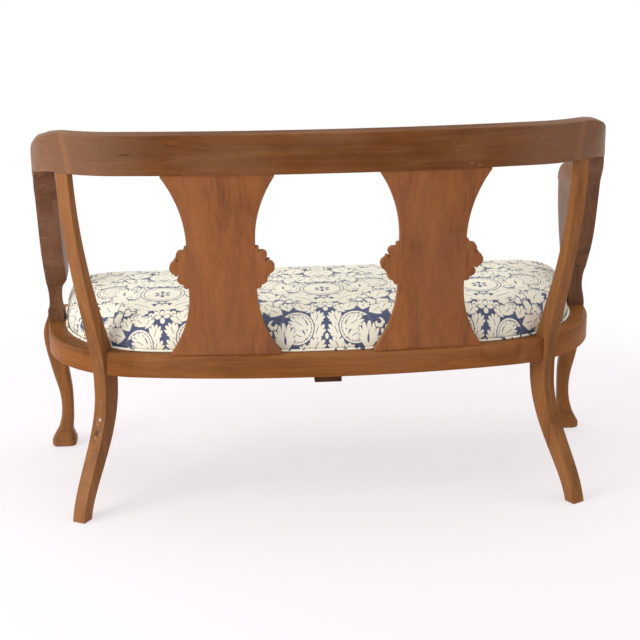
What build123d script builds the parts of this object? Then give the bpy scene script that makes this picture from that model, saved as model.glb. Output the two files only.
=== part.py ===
from build123d import *
from math import asin, atan2, cos, degrees, radians, sin, sqrt, tan
import os

os.makedirs("parts", exist_ok=True)

# Heights of the frame
overall_height = 850.0
crest_height = 90.0
rail_top = 356.0
rail_height = 52.0

# Seat frame plan: shallow bow at the back, round corners, sides that spread forward
seat_depth = 460.0
seat_half_width = 624.0
seat_bow_radius = 2142.0
seat_corner_radius = 265.0
seat_splay = 6.0
rail_thickness = 52.0
rail_round = 4.0
front_rail_thickness = 45.0

# Crest rail plan and section
back_rake = 73.0
crest_side_inset = 4.0
crest_bow_radius = 2870.0
crest_corner_radius = 219.0
crest_thickness = 26.0
crest_lean = 12.0
crest_round = 3.0

# Arm rails: round the corner from the crest, down to the armrest and on to a rounded nose
arm_splay = 2.5
arm_width = 50.0
arm_round = 18.0
arm_edge = 1.0
arm_sag = 12.0
arm_drop_lead = 74.0
arm_drop_run = 112.0
armrest_height = 670.0
armrest_depth = 48.0
armrest_rise = 14.0
arm_setback = 33.0
arm_nose = 38.0

# Arm supports: solid lyres, placed from the front of the arm
support_setback = 92.0
support_inset = 1.2
support_base_length = 50.0
support_base_width = 36.0
support_neck_height = 50.0
support_neck_length = 28.0
support_neck_width = 28.0
lyre_front_reach = 89.0
lyre_back_reach = 118.0
lyre_horn_reach = 162.0
lyre_tip_reach = 226.0

# Rear posts: one plank each, turned to face the corner
post_inset = 145.0
post_turn = 30.0
post_thickness = 30.0
post_lean = 12.0
post_proud = 4.0
post_depth = 48.0
post_head_depth = 18.0
post_head_setback = 2.0
foot_kick = 112.0
foot_depth = 28.0

# Back splats and their ears
splat_spread = 217.0
splat_turn = 5.0
splat_setback = 5.0
splat_thickness = 14.0
splat_foot = 234.0
splat_head = 231.0
splat_waist = 142.0
splat_shoulder = 4.0
ear_height = 94.0
tongue_thickness = 8.0
tongue_depth = 12.0
tongue_margin = 14.0

# Front legs
leg_block = 50.0
knee_size = 52.0
knee_reach = 16.0
ankle_size = 28.0
ankle_draw = 5.0
toe_reach = 24.0
pad_foot_size = 58.0
pad_foot_band = 15.0
pad_foot_height = 42.0

# Upholstery
cushion_corner_ease = 15.0
cushion_back_ledge = 27.0
cushion_front_ledge = 12.0
cushion_front_corner = 35.0
cushion_crown = 89.0
cushion_bulge = 4.0
cover_thickness = 2.5
welt_diameter = 5.5
welt_gap = 1.9
web_width = 50.0
web_thickness = 1.5
web_pitch = 98.0
web_margin = 8.0
burlap_thickness = 1.0

# Brace, blocks and fastenings
brace_width = 58.0
brace_thickness = 12.0
brace_setback = 4.0
block_height = 32.0
block_depth = 34.0
block_width = 140.0
front_block_leg = 78.0
dowel_diameter = 9.0
dowel_reach = 20.0
dowel_end_gap = 2.0
screw_diameter = 4.5
screw_length = 52.0
screw_head_diameter = 9.0
screw_head_height = 3.0

# Clearances
hole_clearance = 0.2
tongue_clearance = 0.3
notch_clearance = 1.5
block_clearance = 0.3
welt_clearance = 1.3

rail_bottom = rail_top - rail_height
crest_bottom = overall_height - crest_height
seat_back = seat_depth / 2
seat_front = -seat_depth / 2
crest_half_width = seat_half_width - crest_side_inset
post_spread = seat_half_width - post_inset
arm_front = seat_front + arm_setback
welt_step = welt_diameter / 2 + welt_gap
cushion_side_ledge = rail_round / 2 + support_base_width + welt_clearance + welt_diameter / 2 + welt_step


def outward(angle):
    return Vector(sin(radians(angle)), cos(radians(angle)), 0)


def forward(angle):
    return Vector(cos(radians(angle)), -sin(radians(angle)), 0)


def section_plane(point, angle):
    return Plane(origin=point, x_dir=outward(angle), z_dir=forward(angle))


def mirrored(shape):
    return mirror(shape, about=Plane.YZ)


class BowLine:
    # A D-shaped plan line: a shallow back arc, two round corners and two sides that spread forward.
    def __init__(self, half_width, back, bow_radius, corner_radius, splay):
        reach = bow_radius - corner_radius
        self.half_width = half_width
        self.back = back
        self.bow_radius = bow_radius
        self.corner_radius = corner_radius
        self.splay = splay
        self.swing = degrees(asin((half_width - corner_radius) / reach))
        self.side_angle = 90 - splay
        self.bow_centre = Vector(0, back - bow_radius, 0)
        self.corner_centre = self.bow_centre + outward(self.swing) * reach

    def inset(self, depth):
        return BowLine(self.half_width - depth, self.back - depth, self.bow_radius - depth,
                       self.corner_radius - depth, self.splay)

    def back_point(self, x):
        return Vector(x, self.bow_centre.Y + sqrt(self.bow_radius ** 2 - x ** 2), 0)

    def corner_point(self, angle):
        return self.corner_centre + outward(angle) * self.corner_radius

    def corner_at(self, x):
        return self.corner_point(degrees(asin((x - self.corner_centre.X) / self.corner_radius)))

    def side_point(self, y):
        start = self.corner_point(self.side_angle)
        return Vector(start.X + (start.Y - y) * tan(radians(self.splay)), y, 0)

    def corner_reach(self, origin, direction):
        gap = origin - self.corner_centre
        along = gap.dot(direction)
        return sqrt(along ** 2 - gap.dot(gap) + self.corner_radius ** 2) - along

    def outline(self, front, front_corner):
        # The closed D with rounded front corners, as edges in order.
        end = self.side_point(front)
        half = radians((90 - self.splay) / 2)
        run = front_corner / tan(half)
        first = end - Vector(run, 0, 0)
        last = end - forward(self.side_angle) * run
        inward = ((first - end) + (last - end)).normalized()
        middle = end + inward * (front_corner / sin(half) - front_corner)
        bend = self.corner_point((self.swing + self.side_angle) / 2)
        side = self.corner_point(self.side_angle)
        corner = self.corner_point(self.swing)
        flip = lambda point: Vector(-point.X, point.Y, point.Z)
        return [
            Line(flip(first), first),
            ThreePointArc(first, middle, last),
            Line(last, side),
            ThreePointArc(side, bend, corner),
            ThreePointArc(corner, self.back_point(0), flip(corner)),
            ThreePointArc(flip(corner), flip(bend), flip(side)),
            Line(flip(side), flip(last)),
            ThreePointArc(flip(last), flip(middle), flip(first)),
        ]


seat_line = BowLine(seat_half_width, seat_back, seat_bow_radius, seat_corner_radius, seat_splay)
crest_line = BowLine(crest_half_width, seat_back + back_rake, crest_bow_radius, crest_corner_radius, arm_splay)
cushion_line = BowLine(seat_half_width - cushion_side_ledge, seat_back - cushion_back_ledge,
                       seat_bow_radius - cushion_back_ledge, seat_corner_radius - cushion_corner_ease,
                       seat_splay)
cushion_front = seat_front + cushion_front_ledge
leg_inset = seat_line.side_point(seat_front + leg_block / 2).X - leg_block

post_corner = seat_line.corner_at(post_spread)
post_normal = outward(post_turn)
post_along = forward(post_turn)
post_plane = section_plane(post_corner, post_turn)
post_top = post_corner + post_along * (post_lean + post_thickness / 2)
post_head = crest_line.corner_reach(post_top, post_normal)
joint_lead = post_thickness / 4


def crest_angle(offset):
    # Angle on the crest's corner where a line through the post's head, offset along the plank, crosses.
    start = post_corner + post_along * (post_lean + offset)
    gap = start + post_normal * crest_line.corner_reach(start, post_normal) - crest_line.corner_centre
    return degrees(atan2(gap.X, gap.Y))


joint_angle = crest_angle(-joint_lead)
arm_turn_angle = crest_angle(post_thickness + joint_lead)


def rounded_face(plane, corners, radii):
    # A closed outline of straight sides with a rounded or sharp corner at each point.
    points = [Vector(*corner) for corner in corners]
    bends = []
    for i, corner in enumerate(points):
        before = (points[i - 1] - corner).normalized()
        after = (points[(i + 1) % len(points)] - corner).normalized()
        half = radians(before.get_angle(after) / 2)
        run = radii[i] / tan(half)
        middle = corner + (before + after).normalized() * (radii[i] / sin(half) - radii[i])
        bends.append((corner + before * run, middle, corner + after * run))
    edges = []
    for i, (start, middle, end) in enumerate(bends):
        if radii[i] > 0:
            edges.append(ThreePointArc(start, middle, end))
        edges.append(Line(end, bends[(i + 1) % len(bends)][0]))
    return plane * make_face(edges)


def band_corners(thickness, bottom, height, lean):
    # Section of a leaning band: level underside, top square to the faces, inner top edge the highest.
    slope = radians(lean)
    rise = height - thickness * sin(slope)
    top = rise * tan(slope)
    return [(0, bottom), (top, bottom + rise),
            (top - thickness * cos(slope), bottom + height), (-thickness / cos(slope), bottom)]


def turned(face, centre, arc):
    return revolve(face, axis=Axis((centre.X, centre.Y, 0), (0, 0, 1)), revolution_arc=arc)


def box_between(low, high):
    size = Vector(*high) - Vector(*low)
    middle = (Vector(*high) + Vector(*low)) / 2
    return Pos(middle.X, middle.Y, middle.Z) * Box(size.X, size.Y, size.Z)


def plank_box(low, high):
    # A box in the post plank's own frame: outward, up, along the seat line.
    return post_plane * box_between(low, high)


def rod(start, direction, length, diameter):
    plane = Plane(origin=start, z_dir=direction)
    return extrude(plane * Circle(diameter / 2), amount=length)


# Rear posts

def post_profile(growth):
    waist = post_proud - post_depth
    head = post_head - post_head_setback
    crest_drop = crest_bottom - rail_top
    outer = [
        Bezier((foot_kick + growth, 0), (foot_kick * 0.85 + growth, rail_bottom * 0.3),
               (post_proud + growth, rail_bottom * 0.54), (post_proud + growth, rail_bottom * 0.87)),
        Line((post_proud + growth, rail_bottom * 0.87), (post_proud + growth, rail_bottom * 0.95)),
        Bezier((post_proud + growth, rail_bottom * 0.95), (post_proud + growth, rail_top + crest_drop * 0.035),
               (head + post_head_setback + growth, rail_top + crest_drop * 0.5),
               (head + growth, crest_bottom)),
    ]
    inner = [
        Bezier((head - post_head_depth - growth, crest_bottom),
               (head - post_head_depth - post_head_setback - growth, rail_top + crest_drop * 0.4),
               (waist + post_proud - growth, rail_top + crest_drop * 0.02),
               (waist - growth, rail_bottom * 0.94)),
        Bezier((waist - growth, rail_bottom * 0.94), (waist - growth, rail_bottom * 0.49),
               (foot_kick * 0.8 - foot_depth - growth, rail_bottom * 0.28),
               (foot_kick - foot_depth - growth, 0)),
    ]
    top = Line(outer[-1] @ 1, inner[0] @ 0)
    foot = Line(inner[-1] @ 1, outer[0] @ 0)
    return make_face(outer + [top] + inner + [foot])


def plank(growth):
    # The sawn profile, with side faces that stand upright at the leg and lean out above the seat rail.
    near = -growth
    far = post_thickness + growth
    blank = Pos(0, 0, near) * extrude(post_profile(growth), amount=far - near + post_lean)
    sides = make_face(Polyline((near, 0), (far, 0), (far, rail_top), (far + post_lean, crest_bottom),
                               (near + post_lean, crest_bottom), (near, rail_top), close=True))
    across = Plane(origin=(0, 0, 0), x_dir=(0, 0, 1), z_dir=(-1, 0, 0))
    return post_plane * (blank & extrude(across * sides, amount=overall_height, both=True))


post = plank(0)
post_notch = plank(notch_clearance)

# Seat rails: one D-shaped ring, parted by the two post planks

rail_corners = [(0, rail_bottom), (0, rail_top), (-rail_thickness, rail_top), (-rail_thickness, rail_bottom)]
rail_radii = [rail_round / 2, rail_round, 0, 0]
block_back = seat_front + leg_block


def rail_ring():
    side = seat_line.corner_point(seat_line.side_angle)
    corner = seat_line.corner_point(seat_line.swing)
    side_face = rounded_face(section_plane(side, seat_line.side_angle), rail_corners, rail_radii)
    bow_face = rounded_face(section_plane(corner, seat_line.swing), rail_corners, rail_radii)
    length = (side.Y - block_back) / cos(radians(seat_splay)) + rail_thickness
    straight = extrude(side_face, amount=length, dir=forward(seat_line.side_angle))
    straight -= box_between((0, block_back - 2 * rail_thickness, 0),
                            (2 * seat_half_width, block_back, overall_height))
    bend = turned(side_face, seat_line.corner_centre, seat_line.side_angle - seat_line.swing)
    bow = turned(bow_face, seat_line.bow_centre, 2 * seat_line.swing)
    half = straight + bend
    return bow + half + mirrored(half)


post_slot = plank_box((-2 * rail_thickness, 0, 0), (2 * rail_thickness, overall_height, post_thickness))
ring = rail_ring() - post_slot - mirrored(post_slot)
ring_pieces = ring.solids().sort_by(Axis.X)
side_rail = ring_pieces[-1]
rear_rail = ring_pieces[len(ring_pieces) // 2]

front_rail = box_between((-leg_inset, seat_front, rail_bottom),
                         (leg_inset, seat_front + front_rail_thickness, rail_top))

# Crest rail, and the start of the arm rail on the same line

crest_section = band_corners(crest_thickness, crest_bottom, crest_height, crest_lean)
crest_radii = [crest_round] * 4


def crest_face(angle):
    return rounded_face(section_plane(crest_line.corner_point(angle), angle), crest_section, crest_radii)


crest_bend = turned(crest_face(joint_angle), crest_line.corner_centre, joint_angle - crest_line.swing)
crest_bow = turned(crest_face(crest_line.swing), crest_line.bow_centre, 2 * crest_line.swing)
crest = crest_bow + crest_bend + mirrored(crest_bend)

# Arm rails

arm_corner_end = crest_line.corner_point(crest_line.side_angle)
arm_bend = radians(crest_line.side_angle - arm_turn_angle) * crest_corner_radius
arm_settled = arm_bend * 0.65
arm_drop_start = arm_bend - arm_drop_lead
arm_drop_end = arm_bend + arm_drop_run
arm_nose_start = arm_front + arm_nose


def eased(value, start, end):
    part_way = min(max((value - start) / (end - start), 0), 1)
    return part_way ** 2 * (3 - 2 * part_way)


def arm_distance(y):
    return arm_bend + (arm_corner_end.Y - y) / cos(radians(arm_splay))


def arm_section_at(distance):
    # Place on the arm's line: round the corner first, then straight ahead.
    if distance < arm_bend:
        angle = arm_turn_angle + degrees(distance / crest_corner_radius)
        return section_plane(crest_line.corner_point(angle), angle)
    ahead = forward(crest_line.side_angle) * (distance - arm_bend)
    return section_plane(arm_corner_end + ahead, crest_line.side_angle)


def arm_levels(distance):
    # Underside and top: both drop past the corner to the armrest, then climb a little to the front.
    sagged = crest_bottom - arm_sag * eased(distance, 0, arm_settled)
    underside_drop = crest_bottom - arm_sag - armrest_height + armrest_depth
    bottom = sagged - underside_drop * eased(distance, arm_bend - arm_drop_lead * 0.6, arm_drop_end)
    top = overall_height - (overall_height - armrest_height) * eased(distance, arm_drop_start, arm_drop_end)
    rise = armrest_rise * eased(distance, arm_drop_end, arm_distance(arm_nose_start))
    return bottom + rise, top + rise


def arm_face(distance):
    # The crest's leaning band turns into a thick upright section with a round top.
    change = eased(distance, 0, arm_settled)
    bottom, top = arm_levels(distance)
    corners = band_corners(crest_thickness + (arm_width - crest_thickness) * change, bottom, top - bottom,
                           crest_lean * (1 - change))
    top_round = crest_round + (arm_round - crest_round) * change
    edge = crest_round + (arm_edge - crest_round) * change
    return rounded_face(arm_section_at(distance), corners, [edge, top_round, top_round, edge])


def nose_face(angle):
    # A station of the nose's quarter ellipse, its underside level with the armrest's.
    bottom, top = arm_levels(arm_distance(arm_nose_start))
    height = (top - bottom) * cos(radians(angle))
    top_round = min(arm_round, height * 0.4)
    edge = min(arm_edge, height * 0.2)
    plane = arm_section_at(arm_distance(arm_nose_start - arm_nose * sin(radians(angle))))
    return rounded_face(plane, band_corners(arm_width, bottom, height, 0), [edge, top_round, top_round, edge])


def arm_rail():
    start = turned(crest_face(arm_turn_angle), crest_line.corner_centre, arm_turn_angle - joint_angle)
    run = arm_distance(arm_nose_start)
    steps = 30
    sweep_down = loft([arm_face(run * i / steps) for i in range(steps + 1)])
    nose = loft([nose_face(angle) for angle in (0, 25, 45, 62, 75, 83)])
    return start + sweep_down + nose


arm = arm_rail()

# Arm supports: solid lyres, standing on the side rail's ledge

support_y = arm_front + support_setback
support_foot = Vector(seat_line.side_point(support_y).X - rail_round / 2 - support_base_width / 2, support_y, 0)
support_head = crest_line.side_point(support_y) - Vector(arm_width / 2, 0, 0)
neck_height = rail_top + support_neck_height
lyre_rise = armrest_height - armrest_depth - neck_height


def lyre_side():
    # Side view, foot's middle at 0 and the sitter's front to the right. The top runs past the arm's underside.
    base = support_base_length / 2
    neck = support_neck_length / 2
    belly = neck_height + lyre_rise * 0.9
    back = (-lyre_back_reach, neck_height + lyre_rise * 0.713)
    horn = (-lyre_horn_reach, neck_height + lyre_rise * 1.27)
    tip = (-lyre_tip_reach, crest_bottom - arm_sag)
    tip_step = (lyre_tip_reach - lyre_horn_reach) * 0.16
    curves = [
        Line((-base, rail_top), (base, rail_top)),
        Bezier((base, rail_top), (base, rail_top + support_neck_height * 0.5),
               (neck, rail_top + support_neck_height * 0.6), (neck, neck_height)),
        Bezier((neck, neck_height), (neck, neck_height + lyre_rise * 0.227),
               (lyre_front_reach * 0.854, neck_height + lyre_rise * 0.49), (lyre_front_reach, belly)),
        Line((lyre_front_reach, belly), (lyre_front_reach, overall_height)),
        Line((lyre_front_reach, overall_height), (-lyre_tip_reach, overall_height)),
        Line((-lyre_tip_reach, overall_height), tip),
        Bezier(tip, (-lyre_tip_reach + 2 * tip_step, tip[1] - lyre_rise * 0.11),
               (-lyre_horn_reach - tip_step, horn[1] + lyre_rise * 0.08), horn),
        Bezier(horn, (-lyre_horn_reach + tip_step, horn[1] - lyre_rise * 0.116),
               (-lyre_back_reach * 1.136, back[1] + lyre_rise * 0.148), back),
        Bezier(back, (-lyre_back_reach * 0.746, neck_height + lyre_rise * 0.389),
               (-neck, neck_height + lyre_rise * 0.194), (-neck, neck_height)),
        Bezier((-neck, neck_height), (-neck, rail_top + support_neck_height * 0.6),
               (-base, rail_top + support_neck_height * 0.5), (-base, rail_top)),
    ]
    return make_face(curves)


def lyre_front():
    # Front view: a flared foot, a narrow neck and a round-bottomed body as thick as the arm.
    base = support_base_width / 2
    neck = support_neck_width / 2
    drift = (support_head - support_foot).dot(outward(crest_line.side_angle))
    full = neck_height + lyre_rise * 0.3

    def flank(side):
        face = drift + side * arm_width / 2
        return [
            Bezier((side * base, rail_top), (side * base, rail_top + support_neck_height * 0.5),
                   (side * neck, rail_top + support_neck_height * 0.6), (side * neck, neck_height)),
            Bezier((side * neck, neck_height), (side * neck, neck_height + lyre_rise * 0.22),
                   (face, neck_height + lyre_rise * 0.2), (face, full)),
            Line((face, full), (face, overall_height)),
        ]

    ends = [Line((-base, rail_top), (base, rail_top)),
            Line((drift - arm_width / 2, overall_height), (drift + arm_width / 2, overall_height))]
    return make_face(flank(1) + flank(-1) + ends)


def arm_plan(inset):
    face = make_face(crest_line.inset(inset).outline(seat_front, arm_edge))
    return extrude(face, amount=overall_height, dir=(0, 0, 1))


def arm_support():
    # The side and front views crossed, kept under the arm's plan and cut off along the arm's underside.
    side_angle = crest_line.side_angle
    side_view = Plane(origin=support_foot, x_dir=forward(side_angle), z_dir=outward(side_angle) * -1)
    front_view = section_plane(support_foot, side_angle)
    across = extrude(side_view * lyre_side(), amount=2 * arm_width, both=True)
    along = extrude(front_view * lyre_front(), amount=seat_depth, both=True)
    under_arm = arm_plan(support_inset) - arm_plan(arm_width - support_inset)
    body = across & along
    foot = body & box_between((0, seat_front, rail_top), (2 * seat_half_width, seat_back, neck_height))
    above_neck = box_between((0, seat_front, neck_height), (2 * seat_half_width, 2 * seat_back, overall_height))
    lyre = body & under_arm & above_neck
    return foot + (lyre - arm).solids().sort_by(Axis.Z)[0]


support = arm_support()

# Back splats

splat_low = seat_line.back_point(splat_spread) - outward(splat_turn) * splat_setback + Vector(0, 0, rail_top)
splat_high = crest_line.back_point(splat_spread) - outward(splat_turn) * splat_setback
splat_high += Vector(0, 0, crest_bottom)
splat_run = (splat_high - splat_low).dot(outward(splat_turn))
splat_lean = atan2(splat_run, crest_bottom - rail_top)
splat_length = (crest_bottom - rail_top) / cos(splat_lean)
splat_inward = outward(splat_turn) * -cos(splat_lean) + Vector(0, 0, sin(splat_lean))
splat_plane = Plane(origin=splat_low, x_dir=forward(splat_turn), z_dir=splat_inward)
waist_low = splat_length * 0.37
waist_high = splat_length * 0.626
ear_middle = (waist_low + waist_high) / 2


def hollow(x_end, y_end, y_waist):
    # A concave side: an arc that leaves the straight waist without a kink.
    across = x_end - splat_waist / 2
    up = abs(y_end - y_waist)
    radius = (across ** 2 + up ** 2) / (2 * across)
    swing = asin(up / radius) / 2
    reach = radius * sin(swing) * (1 if y_end > y_waist else -1)
    return ThreePointArc((splat_waist / 2, y_waist),
                         (splat_waist / 2 + radius * (1 - cos(swing)), y_waist + reach), (x_end, y_end))


def splat_blank():
    low = splat_shoulder
    high = splat_length - splat_shoulder
    spare = splat_thickness
    foot = splat_foot / 2
    head = splat_head / 2
    side = [
        Line((foot, -spare), (foot, low)),
        hollow(foot, low, waist_low),
        Line((splat_waist / 2, waist_low), (splat_waist / 2, waist_high)),
        hollow(head, high, waist_high),
        Line((head, high), (head, splat_length + spare)),
    ]
    ends = [Line((-foot, -spare), (foot, -spare)),
            Line((-head, splat_length + spare), (head, splat_length + spare))]
    face = make_face(side + [mirror(edge, about=Plane.YZ) for edge in side] + ends)
    return splat_plane * extrude(face, amount=splat_thickness)


def tongue(width, level, clearance):
    half = width / 2 - tongue_margin + clearance
    inner = (splat_thickness - tongue_thickness) / 2 - clearance
    reach = tongue_depth + clearance
    return splat_plane * box_between((-half, level - reach, inner), (half, level + reach, splat_thickness - inner))


between_rails = box_between((-seat_half_width, -seat_depth, rail_top), (seat_half_width, seat_depth, crest_bottom))
splat = splat_blank() & between_rails
splat += tongue(splat_foot, 0, 0) + tongue(splat_head, splat_length, 0)


def ear(side):
    # Scalloped outline: a large middle lobe between smaller ones, cut straight along the glue line.
    unit = ear_height / 94
    lobes = [(2, 42, 5), (13, 27, 10.5), (25, 15, 4), (25, 0, 13.5), (25, -14, 4), (13, -26, 10.5), (4, -40, 7)]
    core = Pos(8 * unit, 0) * Rectangle(16 * unit, ear_height * 0.8)
    shape = core + [Pos(x * unit, y * unit) * Circle(r * unit) for x, y, r in lobes]
    shape -= Pos(-ear_height, 0) * Rectangle(2 * ear_height, 2 * ear_height)
    blank = Pos(splat_waist / 2, ear_middle, 0) * extrude(shape, amount=splat_thickness)
    if side < 0:
        blank = mirrored(blank)
    return splat_plane * blank


outer_ear = ear(1)
inner_ear = ear(-1)

for level, width in ((0, splat_foot), (splat_length, splat_head)):
    mortise = tongue(width, level, tongue_clearance)
    if level == 0:
        rear_rail = rear_rail - mortise - mirrored(mortise)
    else:
        crest = crest - mortise - mirrored(mortise)

# Front legs: frame corner block, cabriole curve and square pad foot

block_middle = Vector(leg_inset + leg_block / 2, seat_front + leg_block / 2, 0)


def leg_section(height, step_out, step_forward, size, corner):
    plane = Plane(origin=block_middle + Vector(step_out, -step_forward, height))
    half = size / 2
    corners = [(-half, -half), (half, -half), (half, half), (-half, half)]
    return rounded_face(plane, corners, [size * corner] * 4)


def front_leg():
    block = box_between((leg_inset, seat_front, rail_bottom), (leg_inset + leg_block, block_back, rail_top))
    toe_out = toe_reach * 0.46
    stations = [
        (rail_top, 0, 0, leg_block, 0.1),
        (rail_bottom * 1.085, knee_reach * 0.31, knee_reach * 0.31, knee_size, 0.14),
        (rail_bottom * 0.954, knee_reach, knee_reach, knee_size, 0.2),
        (rail_bottom * 0.82, knee_reach * 0.875, knee_reach * 0.875, knee_size * 0.92, 0.22),
        (rail_bottom * 0.715, knee_reach * 0.62, knee_reach * 0.56, knee_size * 0.8, 0.24),
        (rail_bottom * 0.575, knee_reach * 0.12, knee_reach * 0.06, ankle_size * 1.25, 0.26),
        (rail_bottom * 0.46, -ankle_draw * 0.8, -ankle_draw * 0.8, ankle_size * 1.07, 0.28),
        (rail_bottom * 0.375, -ankle_draw, -ankle_draw, ankle_size, 0.28),
        (rail_bottom * 0.28, -ankle_draw * 0.6, -ankle_draw * 0.2, ankle_size * 1.04, 0.28),
        (rail_bottom * 0.18, toe_out * 0.27, toe_reach * 0.33, ankle_size * 1.21, 0.28),
        (pad_foot_height * 0.9, toe_out * 0.64, toe_reach * 0.71, ankle_size * 1.38, 0.28),
    ]
    shank = loft([leg_section(*station) for station in stations])
    shank -= box_between((0, 2 * seat_front, rail_bottom), (leg_inset, 0, rail_top))
    shank -= box_between((0, block_back, rail_bottom), (2 * leg_inset, 0, rail_top))
    band = loft([leg_section(0, toe_out, toe_reach, pad_foot_size * 0.93, 0.24),
                 leg_section(pad_foot_band * 0.2, toe_out, toe_reach, pad_foot_size, 0.24),
                 leg_section(pad_foot_band, toe_out, toe_reach, pad_foot_size, 0.24)], ruled=True)
    bevel = loft([leg_section(pad_foot_band, toe_out, toe_reach, pad_foot_size * 0.98, 0.24),
                  leg_section(pad_foot_height, toe_out * 0.64, toe_reach * 0.71, ankle_size * 1.3, 0.28)],
                 ruled=True)
    return block + shank + band + bevel


leg = front_leg()

# Upholstery


def cushion_face(line, front, corner, height):
    return Pos(0, 0, height) * make_face(line.outline(front, corner))


def dome(inset, drop):
    # Drawn-in sides, a full shoulder and a low crown over the seat frame.
    span = cushion_line.back - cushion_front
    levels = [(0, 0), (-cushion_bulge, 0.25), (cushion_bulge, 0.56), (span * 0.062, 0.79), (span * 0.166, 0.93),
              (span * 0.332, 1)]
    faces = []
    for depth, share in levels:
        line = cushion_line.inset(inset + depth)
        height = rail_top + (cushion_crown - drop) * share
        faces.append(cushion_face(line, cushion_front + inset + depth * 0.4, cushion_front_corner, height))
    return loft(faces)


def flat_layer(inset, low, high):
    face = cushion_face(cushion_line.inset(inset), cushion_front + inset, cushion_front_corner, low)
    return extrude(face, amount=high - low, dir=(0, 0, 1))


cross_top = rail_top + web_thickness
length_top = cross_top + web_thickness
burlap_top = length_top + burlap_thickness
both_notches = post_notch + mirrored(post_notch)


def strips(low, high, along_x):
    # Webbing strips at an even pitch, trimmed to the seat's outline.
    bed = flat_layer(web_margin, low, high) - both_notches
    span = cushion_line.back - cushion_front if along_x else 2 * cushion_line.half_width
    count = int((span - 2 * web_margin - web_width) / web_pitch) + 1
    middle = (cushion_line.back + cushion_front) / 2 if along_x else 0
    kept = []
    for i in range(count):
        place = middle + (i - (count - 1) / 2) * web_pitch
        half = web_width / 2
        if along_x:
            band = box_between((-seat_half_width, place - half, low), (seat_half_width, place + half, high))
        else:
            band = box_between((place - half, -seat_depth, low), (place + half, seat_depth, high))
        kept.extend((bed & band).solids())
    return Compound(kept)


webbing_crosswise = strips(rail_top, cross_top, False)
webbing_lengthwise = strips(cross_top, length_top, True)
burlap = flat_layer(web_margin, length_top, burlap_top) - both_notches
cavity = dome(cover_thickness, cover_thickness)
cover = dome(0, 0) - cavity - both_notches
pad_space = box_between((-seat_half_width, -seat_depth, burlap_top), (seat_half_width, seat_depth, overall_height))
pad_inset = cover_thickness + block_clearance
pad = (dome(pad_inset, pad_inset) & pad_space) - both_notches


def welt_cord():
    radius = welt_diameter / 2
    line = cushion_line.inset(-welt_step)
    edges = line.outline(cushion_front - welt_step, cushion_front_corner + welt_step)
    path = Pos(0, 0, rail_top + radius) * Wire(edges)
    section = Plane(origin=path @ 0, z_dir=path % 0) * Circle(radius)
    return sweep(section, path=path) - both_notches


welt = welt_cord()

# Seat brace

brace = box_between((-brace_width / 2, seat_front + brace_setback, rail_bottom - brace_thickness),
                    (brace_width / 2, seat_back - brace_setback, rail_bottom))

# Corner blocks

block_low = rail_bottom + (rail_height - block_height) / 2
inner_line = seat_line.inset(rail_thickness)


def front_corner_block():
    front = seat_front + front_rail_thickness
    corner = inner_line.side_point(front)
    along_side = corner - forward(seat_line.side_angle) * front_block_leg
    face = make_face(Polyline((corner.X, front), (along_side.X, along_side.Y), (corner.X - front_block_leg, front),
                              close=True))
    solid = extrude(Pos(0, 0, block_low) * face, amount=block_height, dir=(0, 0, 1))
    return solid - box_between((leg_inset, 2 * seat_front, 0), (2 * leg_inset, block_back, rail_top))


def rear_corner_block():
    depth = rail_thickness + block_depth
    half = block_width / 2
    middle = post_thickness / 2
    blank = plank_box((-depth, block_low, middle - half), (0, block_low + block_height, middle + half))
    room = make_face(inner_line.inset(block_clearance).outline(seat_front + rail_thickness, cushion_front_corner))
    return blank & extrude(room, amount=rail_top, dir=(0, 0, 1))


front_block = front_corner_block()
rear_block = rear_corner_block()

# Dowels and screws, with their holes


def dowel_hole(start, direction, length):
    return rod(start - direction * hole_clearance, direction, length + 2 * hole_clearance,
               dowel_diameter + 2 * hole_clearance)


def dowel(start, direction, length):
    return rod(start, direction, length, dowel_diameter)


up = Vector(0, 0, 1)
crest_pins = []
for height in (0.36, 0.74):
    out = crest_height * height * tan(radians(crest_lean)) - crest_thickness / 2
    place = crest_line.corner_point(joint_angle) + outward(joint_angle) * out
    start = place + up * (crest_bottom + crest_height * height) - forward(joint_angle) * dowel_reach
    crest_pins.append((start, forward(joint_angle), 2 * dowel_reach))
head_middle = post_top + post_normal * (post_head - post_head_setback - post_head_depth / 2)
head_pins = [(head_middle + up * (crest_bottom - dowel_reach), up, 2 * dowel_reach)]

arm_pins = []
for ahead in (-lyre_back_reach * 0.5, lyre_front_reach * 0.5):
    place = support_head + forward(crest_line.side_angle) * ahead
    underside = arm_levels(arm_distance(place.Y))[0]
    arm_pins.append((place + up * (underside - dowel_reach), up, 2 * dowel_reach))
foot_pins = []
for ahead in (-support_base_length * 0.24, support_base_length * 0.24):
    place = support_foot + forward(crest_line.side_angle) * ahead
    foot_pins.append((place + up * (rail_top - dowel_reach), up, 2 * dowel_reach))

pin_in_post = post_thickness / 2 - dowel_end_gap
rear_pins = []
side_pins = []
leg_side_pins = []
leg_front_pins = []
for height in (0.27, 0.73):
    level = up * (rail_bottom + rail_height * height)
    rail_middle = post_corner - post_normal * (post_depth / 2) + level
    rear_pins.append((rail_middle - post_along * dowel_reach, post_along, dowel_reach + pin_in_post))
    far = rail_middle + post_along * (post_thickness - pin_in_post)
    side_pins.append((far, post_along, dowel_reach + pin_in_post))
    side_middle = seat_line.side_point(block_back) - Vector(rail_thickness / 2, 0, 0) + level
    leg_side_pins.append((side_middle - Vector(0, dowel_reach - dowel_end_gap, 0), Vector(0, 1, 0), 2 * dowel_reach))
    front_middle = Vector(leg_inset, seat_front + front_rail_thickness / 2, 0) + level
    leg_front_pins.append((front_middle - Vector(dowel_reach, 0, 0), Vector(1, 0, 0),
                           2 * dowel_reach - dowel_end_gap))


def bored(piece, pins):
    for pin in pins:
        piece = piece - dowel_hole(*pin)
    return piece


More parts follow.
